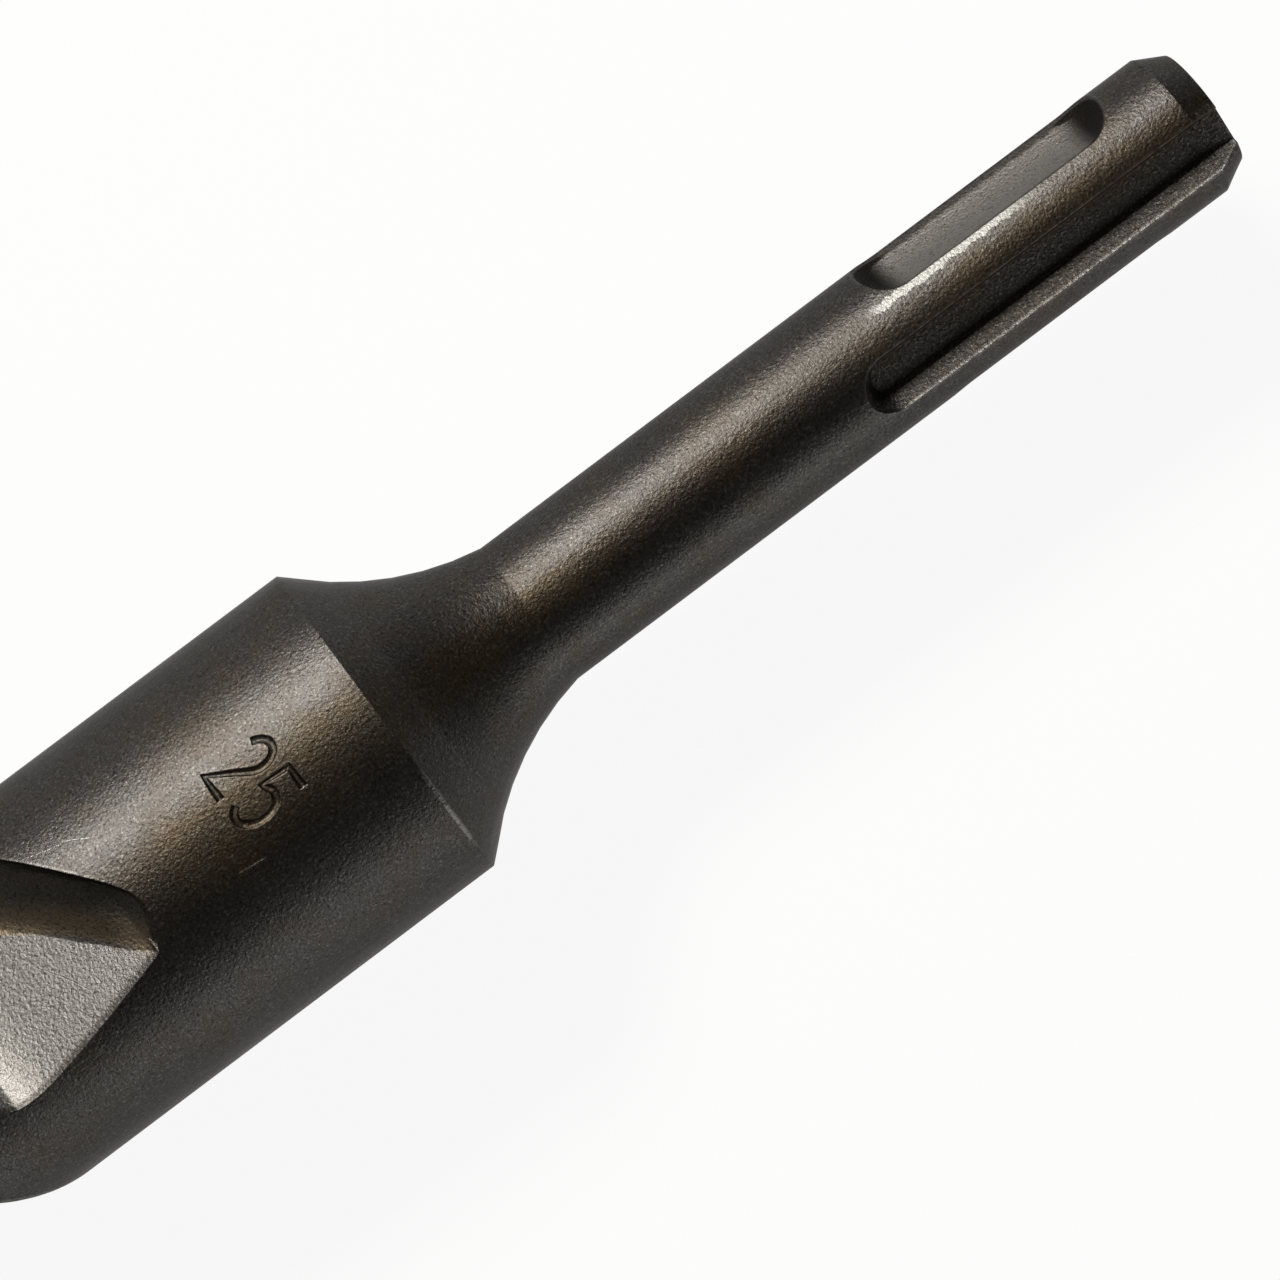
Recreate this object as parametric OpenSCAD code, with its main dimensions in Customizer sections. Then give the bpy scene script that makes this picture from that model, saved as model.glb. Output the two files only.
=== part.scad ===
// Slotted-shank hammer drill bit: two-flute steel body with a brazed carbide tip.
// The axis lies along X with the origin at the shank's striking face, which looks along +X.
// The cutting end lies at -X, and +Z is up as the bit lies on a bench.
// Angles of slots, grooves and flutes are counted about the axis from the top towards -Y.

/* [Overall] */
// Length from the striking face to the carbide point
total_len = 260; // [200:1:450]
// Diameter of the fluted body and its collar
body_d = 22.2; // [20:0.1:24]

/* [Shank] */
// Diameter of the shank
shank_d = 10; // [9.5:0.1:11]
// Length from the striking face to the collar's edge
shank_len = 63; // [52:0.1:80]
// Length of the chamfer at the striking face
end_chamfer_len = 1.85; // [0.5:0.05:3]
// Depth of the chamfer at the striking face
end_chamfer_depth = 1; // [0.3:0.05:1.4]

/* [Flare] */
// Length of the flare between the shank and the collar
flare_len = 11; // [9:0.1:14]
// Length of the flare's straight cone next to the collar
cone_len = 2.4; // [1:0.1:4]
// Loss of radius along that cone
cone_drop = 2.2; // [0.5:0.1:3]
// Radius of the hollow curve between the cone and the shank
flare_radius = 18.9; // [14:0.1:30]

/* [Drive slots] */
// Length of the open slots from the striking face
slot_len = 27.9; // [20:0.1:32]
// Width of a slot's floor
slot_floor_w = 2.4; // [1.6:0.1:3]
// Distance of a slot's floor from the axis
slot_floor_r = 3.46; // [3:0.02:4.2]
// Widening of each slot wall per unit of height
slot_wall_slope = 0.62; // [0.2:0.02:0.9]
// Angle of the slots from the top
slot_angle = 27; // [0:0.5:90]

/* [Locking grooves] */
// Length of the closed grooves
groove_len = 19; // [14:0.1:24]
// Distance from the striking face to a groove's outer end
groove_offset = 5.1; // [3:0.1:8]
// Distance of a groove's floor from the axis
groove_floor_r = 3.4; // [3:0.02:4.2]
// Radius of the groove's hollow section
groove_radius = 7; // [5:0.1:9]
// Radius of the groove's rounded ends
groove_end_radius = 2.6; // [1.6:0.1:3.4]
// Angle from the slots to the grooves
groove_from_slot = 90; // [80:0.5:100]

/* [Flutes] */
// Advance of the right-hand helix in one turn
flute_lead = 54.5; // [45:0.5:90]
// Distance from the collar's edge to the first cut of the flute
flute_start = 17.8; // [14:0.1:26]
// Angle of the flute's steep wall at its first cut
flute_start_angle = -4.6; // [-30:0.2:30]
// Distance from the axis to the flute's back wall once at full depth
core_r = 6; // [5:0.1:7]
// Depth of the cove that runs along the foot of the steep wall
channel_depth = 0.7; // [0.4:0.05:1.2]
// Turn from the steep wall to the middle of the back wall at full depth
back_turn = 72; // [60:1:78]
// Fixed angle that the flat run-out ramp faces
ramp_angle = -25; // [-35:0.5:-15]
// Distance from the axis to the ramp at the first cut
ramp_start_r = 8.7; // [8.2:0.05:9]
// Rise of the ramp per unit of length
ramp_slope = 0.2; // [0.14:0.01:0.3]

/* [Carbide tip] */
// Diameter cut by the carbide plate
tip_d = 25.4; // [24.5:0.1:28]
// Thickness of the carbide plate
plate_t = 4.6; // [3:0.1:6]
// Height of the plate from the slot's floor to its shoulders
plate_h = 11; // [8:0.5:16]
// Loss of radius along the plate's sides towards the slot's floor
plate_taper = 0.3; // [0:0.05:0.8]
// Included angle of the point
point_angle = 130; // [118:1:140]
// Clearance angle ground behind each cutting edge
relief_angle = 22; // [10:1:30]
// Brazing gap on each side of the plate
braze_gap = 0.1; // [0.05:0.05:0.3]
// Distance that the plate's point stands proud of the steel
point_proud = 1.2; // [0.5:0.1:2.5]

/* [Hidden] */
$fn = 96;
body_r = body_d / 2;
shank_r = shank_d / 2;
tip_r = tip_d / 2;
// Heights along the axis before the bit is laid down, with the striking face at zero
collar_z = -shank_len;
point_z = -total_len;
// Height of a point cone for each unit of radius
point_drop = 1 / tan(point_angle / 2);
// The cutting edges of both wings run to this apex, which the clearance angles cut back to
// the chisel edge at the point
apex_z = point_z - plate_t / 2 * tan(relief_angle) / cos(atan(point_drop));
// The plate's cylindrical shoulders start here, and its slot's floor lies here
shoulder_z = apex_z + tip_r * point_drop;
plate_top_z = shoulder_z + plate_h;
// The steel's own point lies this far behind the carbide's
steel_point_z = point_z + point_proud;
// The turned blank starts and ends its turn at this angle, on the plain wall between a slot
// and a groove, so that no slot or groove cuts across the seam
seam_angle = slot_angle - 52.5;
// Radius that every cutting tool reaches outside the body
reach_r = body_r + 2;
// Turn of the helix for each unit of length
turn_rate = 360 / flute_lead;

// Flute stations: closest where the flute first cuts in, close along the rest of its run-out
// and ten degrees of turn apart after that
nose_step = 0.35;
nose_len = 2.8;
runout_step = 0.9;
runout_len = 17.2;
helix_step = flute_lead / 36;
helix_len = total_len - shank_len - flute_start - runout_len + 2;
channel_steps = 7;
floor_steps = 5;
outer_steps = 5;
// Softness of the change from the fixed ramp to the turning back wall, in degrees
blend_turn = 7;

// Turn from the steep wall to the crease where the channel meets the ramp, by distance from
// the first cut: the channel opens quickly, then closes to a fillet at full depth
crease_turns = [[0, 24], [1.1, 26.6], [2.5, 31], [4.6, 32.5], [7.2, 28.3], [8.2, 25], [12.5, 12]];
// Distance over which the cove rises out of the body at the first cut, and how steeply
lift_len = 1.1;
lift_slope = 0.6;
// Distance from the first cut at which the floor starts to round, and over which it does so
core_from = 6.8;
core_over = 5.5;
// Turn from the ramp's middle up to which the floor follows the flat
flat_reach = 62;
// The flute cutter closes outside the body: its turns beside the steep wall, and its bulge
outer_first_turn = -2;
outer_last_turn = 3;
outer_bulge = 2;

// Angle of the steep wall at a distance from the first cut
function wall_angle(d) = flute_start_angle - turn_rate * d;

// Turn from the steep wall to the direction that the ramp or back wall faces
function facing_turn(d) =
    let (fixed = ramp_angle - wall_angle(d))
    -blend_turn * ln(exp(-fixed / blend_turn) + exp(-back_turn / blend_turn));

// Distance from the axis to the ramp or back wall
function facing_r(d) = max(ramp_start_r - ramp_slope * d, core_r);

// Share of the rounded core in the flute's floor: none along the ramp, all at full depth
function core_share(d) = min(max((d - core_from) / core_over, 0), 1);

// Radius of the floor at a turn from the steep wall
function floor_r(d, turn) =
    let (away = min(turn - facing_turn(d), flat_reach))
    facing_r(d) * ((1 - core_share(d)) / cos(away) + core_share(d));

// Height that the cove is lifted out of the body near the first cut
function lift(d) = lift_slope * max(lift_len - d, 0);

// Point of a flute station on the straight from the wall's edge to the crease, sunk by the cove
function cove_point(d, crease, u) =
    let (
        edge = [body_r + lift(d), 0],
        crease_r = floor_r(d, crease) + lift(d),
        foot = [crease_r * cos(crease), crease_r * sin(crease)],
        along = (foot - edge) / norm(foot - edge)
    )
    edge + u * (foot - edge) + channel_depth * sin(180 * sqrt(u)) * [-along[1], along[0]];

function polar(p) = [atan2(p[1], p[0]), norm(p)];

// Points of one flute station as pairs of turn and radius, wall first
function station(d) =
    let (
        crease = lookup(d, crease_turns),
        facing = facing_turn(d),
        bend = max(facing, crease + 1),
        rim_turn = max(facing + acos(facing_r(d) / reach_r), bend + 1),
        cove = [for (i = [0 : channel_steps]) cove_point(d, crease, pow(i / channel_steps, 1.5))]
    )
    concat(
        [[outer_first_turn, reach_r]],
        // The wall carries on through its edge, so that no point lies on the body's surface
        [polar(2 * cove[0] - cove[1])],
        [for (i = [1 : channel_steps]) polar(cove[i])],
        [for (i = [1 : floor_steps])
            let (turn = crease + (bend - crease) * i / floor_steps)
            [turn, floor_r(d, turn) + lift(d)]],
        [for (i = [0 : outer_steps - 1])
            let (turn = rim_turn + (outer_last_turn - rim_turn) * i / outer_steps)
            [turn, reach_r + outer_bulge * sin(180 * i / outer_steps)]]
    );

// Place of a station's point in space
function flute_point(d, p) =
    let (angle = wall_angle(d) + p[0])
    [p[1] * cos(angle), p[1] * sin(angle), collar_z - flute_start - d];

module flute_cutter() {
    distances = concat(
        [for (i = [-2 : nose_len / nose_step - 1]) i * nose_step],
        [for (i = [0 : (runout_len - nose_len) / runout_step - 1]) nose_len + i * runout_step],
        [for (i = [0 : ceil(helix_len / helix_step)]) runout_len + i * helix_step]
    );
    count = len(station(0));
    last = len(distances) - 1;
    points = [for (d = distances, p = station(d)) flute_point(d, p)];
    sides = [
        for (i = [0 : last - 1], j = [0 : count - 1])
        let (k = (j + 1) % count, a = i * count, b = a + count)
        each [[a + k, a + j, b + j], [a + k, b + j, b + k]]
    ];
    caps = [
        [for (j = [0 : count - 1]) j],
        [for (j = [count - 1 : -1 : 0]) last * count + j]
    ];
    polyhedron(points = points, faces = concat(sides, caps), convexity = 10);
}

// Centre of the flare's hollow curve, through the cone's end and the shank's surface
function flare_centre() =
    let (
        a = [body_r - cone_drop, collar_z + cone_len],
        b = [shank_r, collar_z + flare_len],
        half = (b - a) / 2,
        back = sqrt(pow(flare_radius, 2) - half * half) / norm(half)
    )
    a + half + back * [half[1], -half[0]];

// Half section of the turned blank
module blank_section() {
    difference() {
        polygon([
            [0, 0],
            [shank_r - end_chamfer_depth, 0],
            [shank_r, -end_chamfer_len],
            [shank_r, collar_z + flare_len],
            [body_r - cone_drop, collar_z + flare_len],
            [body_r - cone_drop, collar_z + cone_len],
            [body_r, collar_z],
            [body_r, steel_point_z + body_r * point_drop],
            [0, steel_point_z]
        ]);
        intersection() {
            translate(flare_centre()) circle(r = flare_radius, $fn = 360);
            translate([shank_r, collar_z + cone_len]) square([body_r, flare_len - cone_len]);
        }
    }
}

module drive_slot() {
    top_r = shank_r + 1;
    wall_h = top_r - slot_floor_r;
    floor_half = slot_floor_w / 2;
    top_half = floor_half + slot_wall_slope * wall_h;
    // Half width of the slot where its walls leave the shank's surface
    mouth_half = floor_half + slot_wall_slope * (shank_r - slot_floor_r);
    end_z = -slot_len + mouth_half;
    translate([0, 0, end_z]) linear_extrude(height = 1 - end_z) polygon([
        [slot_floor_r, -floor_half],
        [top_r, -top_half],
        [top_r, top_half],
        [slot_floor_r, floor_half]
    ]);
    translate([slot_floor_r, 0, end_z]) rotate([0, 90, 0])
        cylinder(h = wall_h, r1 = floor_half, r2 = top_half);
}

module locking_groove() {
    far_z = -groove_offset - groove_len;
    corner_r = groove_radius - groove_end_radius;
    translate([groove_floor_r + groove_radius, 0, far_z]) rotate_extrude() {
        square([corner_r, groove_len]);
        translate([0, groove_end_radius]) square([groove_radius, groove_len - 2 * groove_end_radius]);
        for (z = [groove_end_radius, groove_len - groove_end_radius])
            translate([corner_r, z]) circle(r = groove_end_radius);
    }
}

// Angle of the carbide plate, across the middle of the lands halfway up the plate
plate_angle = wall_angle(-(plate_top_z + shoulder_z) / 2 - shank_len - flute_start)
    + (back_turn + acos(core_r / body_r) + 180) / 2;

module plate_blank(gap) {
    thickness = plate_t + 2 * gap;
    rotate([0, 0, plate_angle]) translate([-tip_r - 1, -thickness / 2, apex_z - 1])
        cube([tip_d + 2, thickness, plate_top_z - apex_z + 1]);
}

// Tool that grinds the sloping top of one wing, away from its cutting edge
module wing_grind() {
    rotate([0, 0, plate_angle]) translate([0, -plate_t / 2, apex_z])
        rotate([0, -atan(point_drop), 0]) rotate([relief_angle, 0, 0])
        translate([-tip_d, -tip_d, -tip_d]) cube([2 * tip_d, 2 * tip_d, tip_d]);
}

module lay_down() {
    rotate([0, 90, 0]) children();
}

module steel_body() color("#5d574f") lay_down() difference() {
    rotate([0, 0, seam_angle]) rotate_extrude() blank_section();
    for (turn = [0, 180]) rotate([0, 0, turn]) {
        rotate([0, 0, slot_angle]) drive_slot();
        rotate([0, 0, slot_angle - groove_from_slot]) locking_groove();
        flute_cutter();
    }
    plate_blank(braze_gap);
}

module carbide_tip() color("#8d8f92") lay_down() difference() {
    intersection() {
        plate_blank(0);
        translate([0, 0, apex_z]) cylinder(h = plate_top_z - apex_z, r1 = tip_r, r2 = tip_r - plate_taper);
    }
    for (turn = [0, 180]) rotate([0, 0, turn]) wing_grind();
}

steel_body();
carbide_tip();
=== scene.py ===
"""A slotted-shank hammer drill bit of dark, blasted steel on a plain white table."""

import math

import bpy
import numpy as np
from mathutils import Matrix, Vector


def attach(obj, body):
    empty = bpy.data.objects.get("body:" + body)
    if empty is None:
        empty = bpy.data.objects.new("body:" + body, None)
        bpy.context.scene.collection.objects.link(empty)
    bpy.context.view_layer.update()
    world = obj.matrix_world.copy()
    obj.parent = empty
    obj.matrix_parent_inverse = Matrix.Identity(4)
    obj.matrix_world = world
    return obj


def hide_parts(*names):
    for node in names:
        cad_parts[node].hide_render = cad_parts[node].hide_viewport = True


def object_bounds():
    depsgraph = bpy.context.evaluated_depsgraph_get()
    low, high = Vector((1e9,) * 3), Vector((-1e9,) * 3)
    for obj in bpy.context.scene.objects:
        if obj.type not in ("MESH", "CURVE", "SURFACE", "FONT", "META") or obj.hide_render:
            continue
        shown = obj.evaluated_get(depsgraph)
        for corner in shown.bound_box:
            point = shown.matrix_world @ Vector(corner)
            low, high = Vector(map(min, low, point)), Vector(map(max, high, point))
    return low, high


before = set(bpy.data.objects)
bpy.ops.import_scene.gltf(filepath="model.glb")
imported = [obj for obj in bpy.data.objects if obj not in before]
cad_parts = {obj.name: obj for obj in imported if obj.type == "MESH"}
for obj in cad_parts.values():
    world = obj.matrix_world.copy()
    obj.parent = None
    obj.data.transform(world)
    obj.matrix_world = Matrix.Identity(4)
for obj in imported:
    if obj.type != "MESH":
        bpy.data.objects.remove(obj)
cad_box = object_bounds()

MM = 0.001

# The bit's sizes in millimetres and degrees, as in the part's source. Turns go round the axis,
# from the top towards -Y
SHANK_R = 5.0
SHANK_LEN = 63.0
CHAMFER_LEN = 1.85
CHAMFER_DEPTH = 1.0
FLARE_LEN = 11.0
FLARE_R = 18.9
FLARE_CENTRE = (23.617, -48.742)
CONE_LEN = 2.4
CONE_RISE = 2.2
BODY_R = 11.1
POINT_X = -258.8
POINT_SLOPE = 1 / math.tan(math.radians(65))
GROOVE_TURN = -63
PLATE_TURN = 28.9
CORE_R = 6.0
FLUTE_START = SHANK_LEN + 17.8
TURN_RATE = 360 / 54.5
WALL_TURN = -4.6
RAMP_TURN = -25
RAMP_REACH = 8.7
RAMP_FALL = 0.2
BACK_TURN = 72.0
BACK_BLEND = 7
BACK_START = 11
CORE_START = 12.5

# Edges flatter than this are shaded smooth
SMOOTH_ANGLE = math.radians(28)
AO_SAMPLES = 8
BEVEL_SAMPLES = 6

# Scratches on the body, unrolled: start and end as (along, round), and half the width
SCRATCHES = (
    ((-82.5, -6.1), (-81.1, -5.2), 0.06),
    ((-85.6, -6.9), (-82.7, -6.0), 0.05),
    ((-75.4, 2.0), (-73.3, 2.2), 0.05),
    ((-88.6, -1.3), (-86.6, 2.6), 0.05),
    ((-95.4, -1.6), (-91.4, -0.4), 0.05),
)

# Colour of the dark grain, and of the painted shade in corners and recesses
DARK_GRAIN_AND_SHADE = (0.014, 0.012, 0.010, 1)


class Value:
    """A socket of a finish that can be used in sums."""

    def __init__(self, finish, socket):
        self.finish, self.socket = finish, socket

    def math(self, operation, *others):
        terms = dict(enumerate([self, *others]))
        return self.finish.node("Math", {"operation": operation}, terms)

    def __add__(self, other):
        return self.math("ADD", other)

    def __sub__(self, other):
        return self.math("SUBTRACT", other)

    def __rsub__(self, other):
        return self.finish.node("Math", {"operation": "SUBTRACT"}, {0: other, 1: self})

    def __mul__(self, other):
        return self.math("MULTIPLY", other)

    __radd__, __rmul__ = __add__, __mul__

    def or_more(self, other):
        """The greater of the two."""
        return self.math("MAXIMUM", other)

    def from_nearest(self, period):
        """Distance from the nearest whole multiple of the period."""
        return self.math("PINGPONG", period / 2)

    def between(self, low, high):
        """Goes smoothly from 0 at low to 1 at high, and the other way round where high is lower."""
        turned = low > high
        settings = {"interpolation_type": "SMOOTHSTEP"}
        sockets = {"Value": self, "From Min": min(low, high), "From Max": max(low, high)}
        share = self.finish.node("MapRange", settings, sockets)
        return 1 - share if turned else share


class Finish:
    """One material and the nodes that make it."""

    def __init__(self, name):
        self.material = bpy.data.materials.new(name)
        self.material.use_nodes = True
        self.tree = self.material.node_tree
        self.tree.nodes.clear()

    def node(self, kind, settings=None, sockets=None, output=0):
        """Adds a node, sets it up, then fills or links its sockets, and returns one output."""
        made = self.tree.nodes.new("ShaderNode" + kind)
        for name, value in (settings or {}).items():
            setattr(made, name, value)
        for name, value in (sockets or {}).items():
            if isinstance(value, Value):
                self.tree.links.new(value.socket, made.inputs[name])
            else:
                made.inputs[name].default_value = value
        return Value(self, made.outputs[output]) if made.outputs else None

    def millimetres(self):
        """Object coordinates in millimetres."""
        place = self.node("TexCoord", output="Object")
        return self.node("VectorMath", {"operation": "SCALE"}, {0: place, "Scale": 1 / MM})

    def axes(self, place):
        """The three parts of a place."""
        first = self.node("SeparateXYZ", None, {0: place})
        return [Value(self, part) for part in first.socket.node.outputs]

    def noise(self, place, scale, detail=2.0, roughness=0.5):
        sockets = {"Vector": place, "Scale": scale, "Detail": detail, "Roughness": roughness}
        return self.node("TexNoise", None, sockets)

    def blend(self, share, first, second):
        """First where share is 0 and second where it is 1, both colours."""
        sockets = {0: share, 6: first, 7: second}
        return self.node("Mix", {"data_type": "RGBA"}, sockets, output=2)

    def hidden(self, reach, inside=False):
        """Share of rays that meet the piece within reach, in millimetres, outside or inside it."""
        settings = {"inside": inside, "samples": AO_SAMPLES}
        return 1 - self.node("AmbientOcclusion", settings, {"Distance": reach * MM}, output="AO")

    def metal(self, relief, strength, depth, edge_radius, sockets):
        """A metal with a fine relief and soft edges, both in millimetres."""
        soft_edge = self.node("Bevel", {"samples": BEVEL_SAMPLES}, {"Radius": edge_radius * MM})
        bump = self.node(
            "Bump", None,
            {"Strength": strength, "Distance": depth * MM, "Height": relief, "Normal": soft_edge},
        )
        return self.surface(self.node("BsdfPrincipled", None, {**sockets, "Normal": bump}))

    def surface(self, shader):
        self.node("OutputMaterial", None, {"Surface": shader})
        return self.material


def grey(value):
    return (value, value, value, 1.0)


def scratch_mask(along, across, start, end, half_width, waver):
    """1 on a thin straight scratch between two points of the unrolled surface, in millimetres."""
    length = math.dist(start, end)
    ux, uy = (end[0] - start[0]) / length, (end[1] - start[1]) / length
    run = (along - start[0]) * ux + (across - start[1]) * uy
    off = (across - start[1]) * ux - (along - start[0]) * uy + waver
    inside = run.between(-0.1, 0.3) * run.between(length + 0.1, length - 0.3)
    return off.math("ABSOLUTE").between(half_width, half_width * 0.3) * inside


def scratches_on_body(along, turn, radius, peel):
    arc = turn * (BODY_R * math.pi / 180)
    waver = (peel - 0.5) * 0.12
    scratches = None
    for start, end, half_width in SCRATCHES:
        mark = scratch_mask(along, arc, start, end, half_width, waver)
        scratches = mark if scratches is None else scratches.or_more(mark)
    return scratches * radius.between(6.5, 7.5)


def worn_collar_edge(along, turn, rough_edge):
    """1 on the stretch of the collar's sharp edge that is worn bright."""
    on_edge = along.between(-63.24, -63.12) * along.between(-62.84, -62.96)
    on_edge = on_edge * turn.between(16, 22) * turn.between(58, 50)
    return on_edge * rough_edge.between(0.36, 0.5)


def burnished_strip(along, turn, radius, rough_edge):
    """1 on the bright strip of the shank beside each closed groove."""
    off_strip = (turn + 24.5 + 0.35 * (radius - SHANK_R)).from_nearest(180.0)
    ends = along.between(-25.2, -23.6) * along.between(-11.0, -15.5)
    sides = (off_strip + (rough_edge - 0.5) * 9).between(4.2, 2.6)
    return sides * ends * radius.between(SHANK_R - 0.4, SHANK_R - 0.15)


def slots_and_grooves(along, turn, radius):
    """1 inside the open slots, and 1 inside the closed grooves."""
    below_skin = radius.between(SHANK_R - 0.1, SHANK_R - 0.35)
    off_groove = (turn - GROOVE_TURN).from_nearest(180.0)
    slot = below_skin * off_groove.between(61, 64) * along.between(-28.4, -27.9)
    groove = below_skin * off_groove.between(42, 38) * along.between(-24.3, -24.0)
    return slot, groove * along.between(-4.9, -5.2)


def blasted_steel():
    f = Finish("blasted_steel")
    place = f.millimetres()
    along, side, height = f.axes(place)
    radius = (side * side + height * height).math("SQRT")
    turn = (side * -1).math("ARCTAN2", height) * (180 / math.pi)

    grain = f.noise(place, 4.6, 3.0, 0.6)
    speck = f.noise(place, 6.8, 1.0)
    peel = f.noise(place, 1.3, 2.0)
    mottle = f.noise(place, 0.28, 3.0, 0.6)
    patches = f.noise(place, 0.09, 2.0)
    rough_edge = f.noise(place, 1.6, 3.0, 0.65)

    # Worn outer edges, and painted shade in the corners and recesses
    edge = f.hidden(0.3, inside=True).between(0.09, 0.32) * rough_edge.between(0.32, 0.56)
    # Painted shade: corners and recesses, found by occlusion, are darkened
    corner = f.hidden(1.4).between(0.3, 0.8)
    strip = burnished_strip(along, turn, radius, rough_edge)
    scratches = scratches_on_body(along, turn, radius, peel)
    collar_edge = worn_collar_edge(along, turn, rough_edge)
    bright = (edge * 0.38).or_more(scratches * 0.6).or_more(collar_edge * 0.5)

    # The slots and grooves are left as forged: lighter, coarser and duller than the skin
    slot, groove = slots_and_grooves(along, turn, radius)
    forged = slot + groove
    # Painted shade at the grooves' round ends and in a line along their rims
    groove_end_shade = groove * (along.between(-21.0, -22.8) + along.between(-8.4, -6.6))
    groove_rim_shade = groove * (radius + (rough_edge - 0.5) * 0.5).between(4.3, 4.6)
    # Painted shade on the slots' walls
    slot_wall_shade = slot * radius.between(3.7, 3.95)

    # The inside of the flutes is ground, so it is cleaner and greyer than the skin of the body; its
    # lighter colour is partly painted light on the ramp, which the steep wall shades
    flute = radius.between(BODY_R - 0.15, BODY_R - 0.5) * along.between(-79.0, -80.5)
    # Brown tint in random patches, plus a brown band at fixed turns on both sides that is painted
    # mid-tone shade beside the highlight
    painted_midtone_band = (turn + 1).from_nearest(180.0).between(19.0, 7.0)
    tan = (mottle.between(0.4, 0.7) * 0.4 + painted_midtone_band * 0.8) * (1 - flute)
    skin = f.blend(tan.math("MINIMUM", 1.0), (0.053, 0.050, 0.047, 1), (0.060, 0.046, 0.030, 1))
    skin = f.blend(patches.between(0.42, 0.66) * 0.55, skin, (0.046, 0.044, 0.042, 1))
    # Partly painted light: the flutes are made much lighter, which brightens the shaded ramp
    skin = f.blend(flute * 0.9, skin, (0.145, 0.139, 0.131, 1))
    # Painted shade: the slots' walls are darkened
    skin = f.blend(slot_wall_shade * 0.25, skin, (0.028, 0.026, 0.022, 1))
    skin = f.blend(groove * 0.85, skin, (0.225, 0.213, 0.196, 1))

    # The cove at the foot of each flute's steep wall has painted shade next to the wall, going over
    # to brown, most of all in its crease
    past_wall = turn - WALL_TURN - (along + FLUTE_START) * TURN_RATE
    past_wall = past_wall.math("FLOORED_MODULO", 180.0)
    cove = flute * past_wall.between(31, 27)
    shade_then_brown = f.blend(past_wall.between(8, 26), (0.088, 0.081, 0.070, 1), (0.22, 0.173, 0.117, 1))
    skin = f.blend(cove, skin, shade_then_brown)

    # Light and dark grains, painted shade in corners, groove ends and groove rims, and the bright
    # marks over all of it
    light = grain.between(0.56, 0.72).or_more(speck.between(0.60, 0.74))
    skin = f.blend(light * (0.35 + forged * 0.3), skin, (0.20, 0.19, 0.17, 1))
    dark = grain.between(0.44, 0.29).or_more(speck.between(0.40, 0.27))
    skin = f.blend(dark * 0.7, skin, DARK_GRAIN_AND_SHADE)
    # Painted shade: corners, groove ends and groove rims are darkened
    painted_shade = corner * (1 - flute) * (0.35 + forged * 0.4)
    painted_shade = painted_shade + groove_end_shade + groove_rim_shade * 0.75
    skin = f.blend(painted_shade.math("MINIMUM", 1.0), skin, DARK_GRAIN_AND_SHADE)
    skin = f.blend(bright, skin, (0.20, 0.195, 0.18, 1))
    skin = f.blend(strip, skin, (0.15, 0.15, 0.142, 1))

    # Braze that ran out along the carbide's slot
    plate_turn = math.radians(PLATE_TURN)
    off_plate = (side * -math.sin(plate_turn) + height * math.cos(plate_turn)).math("ABSOLUTE")
    braze = (off_plate + (rough_edge - 0.5) * 0.9).between(3.1, 2.6)
    braze = braze * along.between(-247.6, -248.6)
    skin = f.blend(braze, skin, (0.24, 0.165, 0.07, 1))

    rough = 0.42 + (mottle - 0.5) * 0.14 + (grain - 0.5) * 0.12 + forged * 0.1
    rough = rough - bright * 0.1 - braze * 0.12
    relief = grain * (0.8 + forged) + peel * 0.25 - bright * 0.3 - strip * 0.3
    sockets = {
        "Base Color": skin, "Metallic": 1.0, "Roughness": rough, "Specular Tint": grey(0.6),
    }
    return f.metal(relief, 1.0, 0.057, 0.12, sockets)


def ground_carbide():
    f = Finish("ground_carbide")
    place = f.millimetres()
    along = f.axes(place)[0]
    stretched = f.node("VectorMath", {"operation": "MULTIPLY"}, {0: place, 1: (0.25, 3.0, 3.0)})
    grinding = f.noise(stretched, 3.0, 3.0, 0.6)
    mottle = f.noise(place, 0.5, 3.0, 0.6)
    grain = f.noise(place, 6.0, 2.0)
    edge = f.hidden(0.3, inside=True).between(0.2, 0.5) * mottle.between(0.3, 0.6)
    # The braze has wetted the plate's foot
    braze = (along + (mottle - 0.5) * 2.4).between(-247.4, -246.4)
    body = f.blend(grinding.between(0.3, 0.7), (0.20, 0.20, 0.205, 1), (0.30, 0.30, 0.31, 1))
    body = f.blend(mottle.between(0.5, 0.75) * 0.4, body, (0.16, 0.155, 0.15, 1))
    body = f.blend(edge * 0.7, body, grey(0.52))
    body = f.blend(braze * 0.8, body, (0.27, 0.195, 0.10, 1))
    rough = 0.36 + (grinding - 0.5) * 0.2 + mottle * 0.06
    relief = grinding * 0.7 + grain * 0.3
    sockets = {"Base Color": body, "Metallic": 0.85, "Roughness": rough}
    return f.metal(relief, 0.4, 0.012, 0.1, sockets)


def white_table():
    """Pale diffuse table that the camera and the metal see as white, with the shadow kept."""
    f = Finish("white_table")
    outputs = f.node("LightPath").socket.node.outputs
    camera_ray, glossy_ray, clear_ray = (
        Value(f, outputs[f"Is {kind} Ray"]) for kind in ("Camera", "Glossy", "Transmission")
    )
    seen = camera_ray.or_more(glossy_ray).or_more(clear_ray)
    lit = f.node("BsdfDiffuse", None, {"Color": grey(0.8)})
    white = f.node("Emission", None, {"Color": grey(1.0), "Strength": 1.0})
    return f.surface(f.node("MixShader", None, {0: seen * 0.92, 1: lit, 2: white}))


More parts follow.
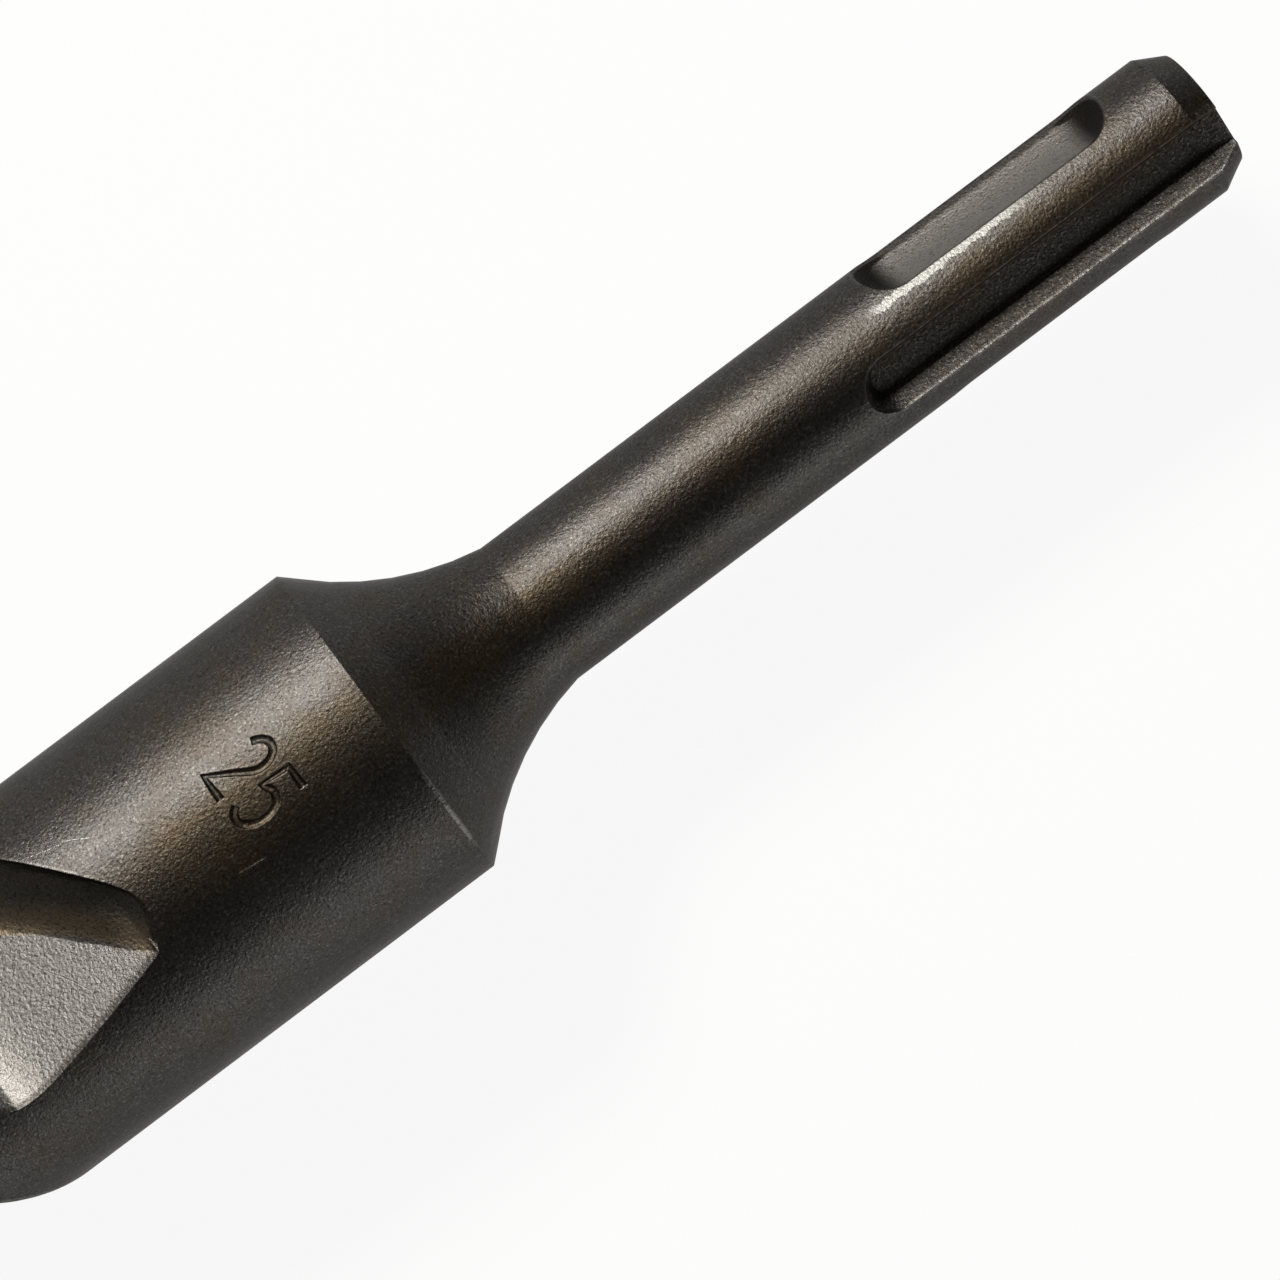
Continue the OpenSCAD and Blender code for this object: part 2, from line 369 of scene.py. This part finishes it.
def turned_form(x):
    """Radius of the turned blank at each x, and the radial and axial parts of its normal."""
    radius, out, ahead = np.full_like(x, BODY_R), np.ones_like(x), np.zeros_like(x)
    flare_start = FLARE_LEN - SHANK_LEN
    cone_start = CONE_LEN - SHANK_LEN

    chamfer = x > -CHAMFER_LEN
    slope = CHAMFER_DEPTH / CHAMFER_LEN
    radius[chamfer] = SHANK_R - CHAMFER_DEPTH + slope * -x[chamfer]
    out[chamfer], ahead[chamfer] = 1, slope

    shank = (x <= -CHAMFER_LEN) & (x > flare_start)
    radius[shank] = SHANK_R

    hollow = (x <= flare_start) & (x > cone_start)
    drop = np.sqrt(np.maximum(FLARE_R**2 - (x[hollow] - FLARE_CENTRE[1]) ** 2, 0))
    radius[hollow] = FLARE_CENTRE[0] - drop
    out[hollow], ahead[hollow] = drop, FLARE_CENTRE[1] - x[hollow]

    cone = (x <= cone_start) & (x > -SHANK_LEN)
    radius[cone] = BODY_R - CONE_RISE * (x[cone] + SHANK_LEN) / CONE_LEN
    out[cone], ahead[cone] = CONE_LEN, CONE_RISE

    point = x < POINT_X + BODY_R * POINT_SLOPE
    radius[point] = (x[point] - POINT_X) / POINT_SLOPE
    out[point], ahead[point] = POINT_SLOPE, -1

    length = np.hypot(out, ahead)
    return radius, out / length, ahead / length


def turned_normals(at, inner):
    """Corners that lie on the turned blank, and the blank's normals there."""
    slack = 0.09
    radius, out, ahead = turned_form(inner[:, 0])
    side, up = outward(at)
    off = np.abs(np.hypot(inner[:, 1], inner[:, 2]) - radius)
    return off < slack, np.stack([ahead, out * side, out * up], 1)


def outward(at):
    """Direction from the axis to each point."""
    reach = np.maximum(np.hypot(at[:, 1], at[:, 2]), 1e-9)
    return at[:, 1] / reach, at[:, 2] / reach


def flute_line(x):
    """Turn that a flute's ramp or back wall faces at each x, in radians, and its distance."""
    depth = -(x + FLUTE_START)
    wall = WALL_TURN - TURN_RATE * depth
    ramp = RAMP_TURN - wall
    # A soft minimum: the ramp keeps its direction until it lies BACK_TURN past the steep wall
    both = np.exp(-ramp / BACK_BLEND) + np.exp(-BACK_TURN / BACK_BLEND)
    facing = wall - BACK_BLEND * np.log(both)
    return np.radians(facing), np.maximum(RAMP_REACH - RAMP_FALL * depth, CORE_R)


def flute_place(points):
    """Depth past the first cut, turn past the steep wall, the turn faced, and each flute's sign."""
    turn = np.degrees(np.arctan2(-points[:, 1], points[:, 2]))
    depth = -(points[:, 0] + FLUTE_START)
    wall = WALL_TURN - TURN_RATE * depth
    half_turns = np.floor((turn - wall) / 180)
    facing = np.degrees(flute_line(points[:, 0])[0]) - wall
    return depth, turn - wall - 180 * half_turns, facing, np.where(half_turns % 2, -1, 1)


def wall_gap(at, flip):
    """How far points stand off the ramp or back wall, its direction there, and its normals."""
    step = 0.01
    angle, distance = flute_line(at[:, 0])
    angle_after, distance_after = flute_line(at[:, 0] + step)
    side, up = -np.sin(angle) * flip, np.cos(angle) * flip
    gap = side * at[:, 1] + up * at[:, 2] - distance
    ahead = (at[:, 1] * -np.cos(angle) - at[:, 2] * np.sin(angle)) * flip
    ahead = (ahead * (angle_after - angle) - (distance_after - distance)) / step
    normal = np.stack([ahead, side, up], 1)
    return gap, np.stack([side, up], 1), normal / np.linalg.norm(normal, axis=1)[:, None]


def flute_normals(at, centre):
    """Corners of the flutes' ramps, back walls and core, and the normals there."""
    wall_slack, core_slack, turn_slack = 0.3, 0.08, 1
    depth, past_wall, facing, flip = flute_place(centre)
    gap, _, flat = wall_gap(at, flip)
    side, up = outward(at)
    radial = np.stack([side * 0, side, up], 1)
    off_core = np.abs(np.hypot(at[:, 1], at[:, 2]) - CORE_R)
    past_flat = past_wall > facing - turn_slack
    on_flat = (depth > 0) & past_flat & (np.abs(gap) < wall_slack)
    before_flat = past_wall < facing - turn_slack
    on_core = (depth > CORE_START) & before_flat & (off_core < core_slack)
    return on_flat | on_core, np.where(on_core[:, None], radial, flat)


def array_of(items, name, width, kind=float):
    """One property of all items, as rows of this width, or as a plain list where it is 1."""
    values = np.empty(len(items) * width, kind)
    items.foreach_get(name, values)
    return values.reshape(-1, width) if width > 1 else values


def part_back_walls(piece):
    """Parts the back walls' long facets, and leaves the new faces selected."""
    slack, turn_slack, spread, cuts = 0.8, 2, 38, 3
    mesh = piece.data
    centre = array_of(mesh.polygons, "center", 3) / MM
    depth, past_wall, facing, flip = flute_place(centre)
    gap, _, normal = wall_gap(centre, flip)
    agree = (normal * array_of(mesh.polygons, "normal", 3)).sum(1) > math.cos(math.radians(spread))
    near = (past_wall > facing - turn_slack) & (np.abs(gap) < slack)
    only(piece)
    bpy.ops.object.mode_set(mode="EDIT")
    bpy.ops.mesh.select_mode(type="FACE")
    bpy.ops.mesh.select_all(action="DESELECT")
    bpy.ops.object.mode_set(mode="OBJECT")
    mesh.polygons.foreach_set("select", (depth > BACK_START) & near & agree)
    bpy.ops.object.mode_set(mode="EDIT")
    bpy.ops.mesh.subdivide(number_cuts=cuts)
    bpy.ops.object.mode_set(mode="OBJECT")


def smooth_back_walls(piece):
    """Lays the back walls, which are long coarse facets, on their true twisted surface."""
    rim_band, merged = 0.2, 0.02
    part_back_walls(piece)
    mesh = piece.data
    corner_vert = array_of(mesh.loops, "vertex_index", 1, int)
    count = array_of(mesh.polygons, "loop_total", 1, int)
    in_wall = np.repeat(array_of(mesh.polygons, "select", 1, bool), count)
    inside = np.zeros(len(mesh.vertices), bool)
    inside[corner_vert[in_wall]] = True
    border = np.zeros(len(mesh.vertices), bool)
    border[corner_vert[~in_wall]] = True

    at = array_of(mesh.vertices, "co", 3) / MM
    flip = flute_place(at)[3]
    gap, toward, _ = wall_gap(at, flip)
    free = inside & ~border
    at[free, 1:] -= (gap[:, None] * toward)[free]

    # The rim stays on the round of the body
    rim = inside & border & (np.hypot(at[:, 1], at[:, 2]) > BODY_R - rim_band)
    angle, distance = flute_line(at[:, 0])
    angle = angle + np.arccos(np.minimum(distance / BODY_R, 1))
    at[rim, 1] = (-np.sin(angle) * flip * BODY_R)[rim]
    at[rim, 2] = (np.cos(angle) * flip * BODY_R)[rim]
    mesh.vertices.foreach_set("co", (at * MM).ravel())
    mesh.update()
    merge(merged)


def true_normals(mesh):
    """Gives the faces of the turned blank and of the flutes their true normals."""
    corners = array_of(mesh.corner_normals, "vector", 3)
    count = array_of(mesh.polygons, "loop_total", 1, int)
    face_of = np.repeat(np.arange(len(count)), count)
    face_normal = array_of(mesh.polygons, "normal", 3)[face_of]
    at = (array_of(mesh.vertices, "co", 3) / MM)[array_of(mesh.loops, "vertex_index", 1, int)]
    middle = np.zeros((len(count), 3))
    np.add.at(middle, face_of, at)
    centre = (middle / count[:, None])[face_of]
    # Corners are read a little towards the face's middle, to know which side of an edge they are
    inner = at + (centre - at) * 0.02
    # Faces that lean off the true normal by more than the spread keep their own
    for (on_form, normal), spread in (
        (flute_normals(at, centre), 180),
        (turned_normals(at, inner), 16),
    ):
        agree = (normal * face_normal).sum(1) > math.cos(math.radians(spread))
        fits = np.ones(len(count), bool)
        np.logical_and.at(fits, face_of, on_form & agree)
        chosen = fits[face_of]
        corners[chosen] = normal[chosen]
    mesh.normals_split_custom_set(corners.tolist())


def only(obj):
    """Selects this object alone."""
    bpy.ops.object.select_all(action="DESELECT")
    obj.select_set(True)
    bpy.context.view_layer.objects.active = obj


def dressed_copy(node, name):
    """A merged copy of a CAD node that stands for it."""
    only(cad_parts[node])
    bpy.ops.object.duplicate()
    piece = bpy.context.object
    piece.name = piece.data.name = name
    piece.parent = None
    bpy.ops.mesh.customdata_custom_splitnormals_clear()
    merge(0.004)
    return piece


def merge(distance):
    """Merges what lies closer than this on the selected piece, in millimetres, and its slivers."""
    bpy.ops.object.mode_set(mode="EDIT")
    bpy.ops.mesh.select_all(action="SELECT")
    bpy.ops.mesh.remove_doubles(threshold=distance * MM)
    bpy.ops.mesh.dissolve_degenerate(threshold=distance * MM)
    bpy.ops.object.mode_set(mode="OBJECT")


def on_body(along, across, lift):
    """Point over the collar: along the axis, across it to the right of the size mark, and out."""
    angle = across / BODY_R
    radius = (BODY_R + lift) * MM
    return (along * MM, -radius * math.sin(angle), radius * math.cos(angle), 1)


def arc_points(centre, size, start, end, steps):
    """Points of an arc of an ellipse, from one angle to another in degrees."""
    for i in range(steps + 1):
        angle = math.radians(start + (end - start) * i / steps)
        yield (centre[0] + size[0] * math.cos(angle), centre[1] + size[1] * math.sin(angle))


def size_mark():
    """Strokes of the plain size number, as tubes that are cut out of the collar."""
    foot, wide, tall = -73.6, 1.1, 1.42
    stroke_r, lift = 0.32, 0.13
    # Each stroke is listed as (to the right, up), before the digits are widened and made taller;
    # up is towards the shank
    two = [*arc_points((0, 2.3), (0.78, 0.85), 165, -30, 12), (-0.8, 0.05), (0.85, 0.05)]
    five = [(0.75, 3.15), (-0.6, 3.15), (-0.7, 1.8)]
    five += arc_points((0.02, 1.05), (0.8, 1.0), 120, -140, 14)
    curve = bpy.data.curves.new("size_mark", "CURVE")
    curve.dimensions = "3D"
    curve.bevel_depth = stroke_r * MM
    curve.bevel_resolution = 3
    curve.use_fill_caps = True
    for digit, across in ((two, -3.1), (five, -0.65)):
        spline = curve.splines.new("POLY")
        spline.points.add(len(digit) - 1)
        for point, (right, up) in zip(spline.points, digit):
            point.co = on_body(foot + up * tall, across + right * wide, lift)
    cutter = bpy.data.objects.new("size_mark", curve)
    bpy.context.collection.objects.link(cutter)
    only(cutter)
    bpy.ops.object.convert(target="MESH")
    return bpy.context.object


def cut(piece, cutter):
    """Takes the cutter out of the piece, and removes it."""
    only(piece)
    modifier = piece.modifiers.new("cut", "BOOLEAN")
    modifier.operation = "DIFFERENCE"
    modifier.solver = "EXACT"
    modifier.object = cutter
    bpy.ops.object.modifier_apply(modifier=modifier.name)
    bpy.data.objects.remove(cutter)


def finish_piece(piece, node, material):
    """Gives the piece its material, hides the CAD node that it stands for, and hangs it on the
    root.
    """
    piece.data.materials.clear()
    piece.data.materials.append(material)
    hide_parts(node)
    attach(piece, "root")


def steel_bit():
    piece = dressed_copy("steel_body", "blasted_bit")
    smooth_back_walls(piece)
    cut(piece, size_mark())
    only(piece)
    bpy.ops.object.shade_smooth_by_angle(angle=SMOOTH_ANGLE)
    true_normals(piece.data)
    finish_piece(piece, "steel_body", blasted_steel())


def carbide_plate():
    piece = dressed_copy("carbide_tip", "carbide_plate")
    only(piece)
    bevel = piece.modifiers.new("ground_edges", "BEVEL")
    bevel.width = 0.12 * MM
    bevel.segments = 2
    bevel.limit_method = "ANGLE"
    bevel.angle_limit = SMOOTH_ANGLE
    bpy.ops.object.modifier_apply(modifier=bevel.name)
    bpy.ops.object.shade_smooth_by_angle(angle=SMOOTH_ANGLE)
    finish_piece(piece, "carbide_tip", ground_carbide())


def table_top():
    bpy.ops.object.select_all(action="DESELECT")
    bpy.ops.mesh.primitive_plane_add(size=8, location=(cad_box[0].x / 2, 0, cad_box[0].z))
    top = bpy.context.object
    top.name = "table_top"
    bpy.ops.object.transform_apply(location=True, rotation=True, scale=True)
    top.data.materials.append(white_table())


def softbox(name, direction, distance, size, power, tint=(1, 1, 1)):
    """A lamp that shines from this direction at the middle of what the photo shows."""
    aim = Vector((-0.09, 0, 0))
    data = bpy.data.lights.new(name, "AREA")
    data.shape = "RECTANGLE"
    data.size, data.size_y = size
    data.energy = power
    data.color = tint
    lamp = bpy.data.objects.new(name, data)
    bpy.context.collection.objects.link(lamp)
    toward = Vector(direction).normalized()
    lamp.location = aim + toward * distance
    lamp.rotation_euler = toward.to_track_quat("Z", "Y").to_euler()


def dim_room():
    world = bpy.data.worlds.new("dim_room")
    world.use_nodes = True
    background = world.node_tree.nodes["Background"]
    background.inputs["Color"].default_value = grey(1.0)
    background.inputs["Strength"].default_value = 0.05
    bpy.context.scene.world = world


def photo_camera():
    """The camera of the photo, as it was fitted to the shank and the collar."""
    place = Matrix.Translation((-0.06017, 0, 0.34533))
    right = Vector((0.7988, -0.6003, 0.0387)).normalized()
    back = Vector((-0.0366, 0.0156, 0.9992)).normalized()
    up = back.cross(right).normalized()
    right = up.cross(back)
    data = bpy.data.cameras.new("photo_camera")
    data.lens = 158.2
    data.sensor_width = 36
    data.clip_start = 0.01
    data.clip_end = 20
    camera = bpy.data.objects.new("photo_camera", data)
    bpy.context.collection.objects.link(camera)
    camera.matrix_world = place @ Matrix((right, up, back)).transposed().to_4x4()
    bpy.context.scene.camera = camera
    bpy.context.scene.view_settings.view_transform = "Standard"


photo_camera()
steel_bit()
carbide_plate()
table_top()
dim_room()
softbox("key_lamp", (0, 0.725, 0.688), 0.9, (0.3, 0.22), 11.0, (1.0, 0.965, 0.92))
softbox("fill_lamp", (0.2, -0.95, 0.17), 1.2, (0.9, 0.3), 3.5)
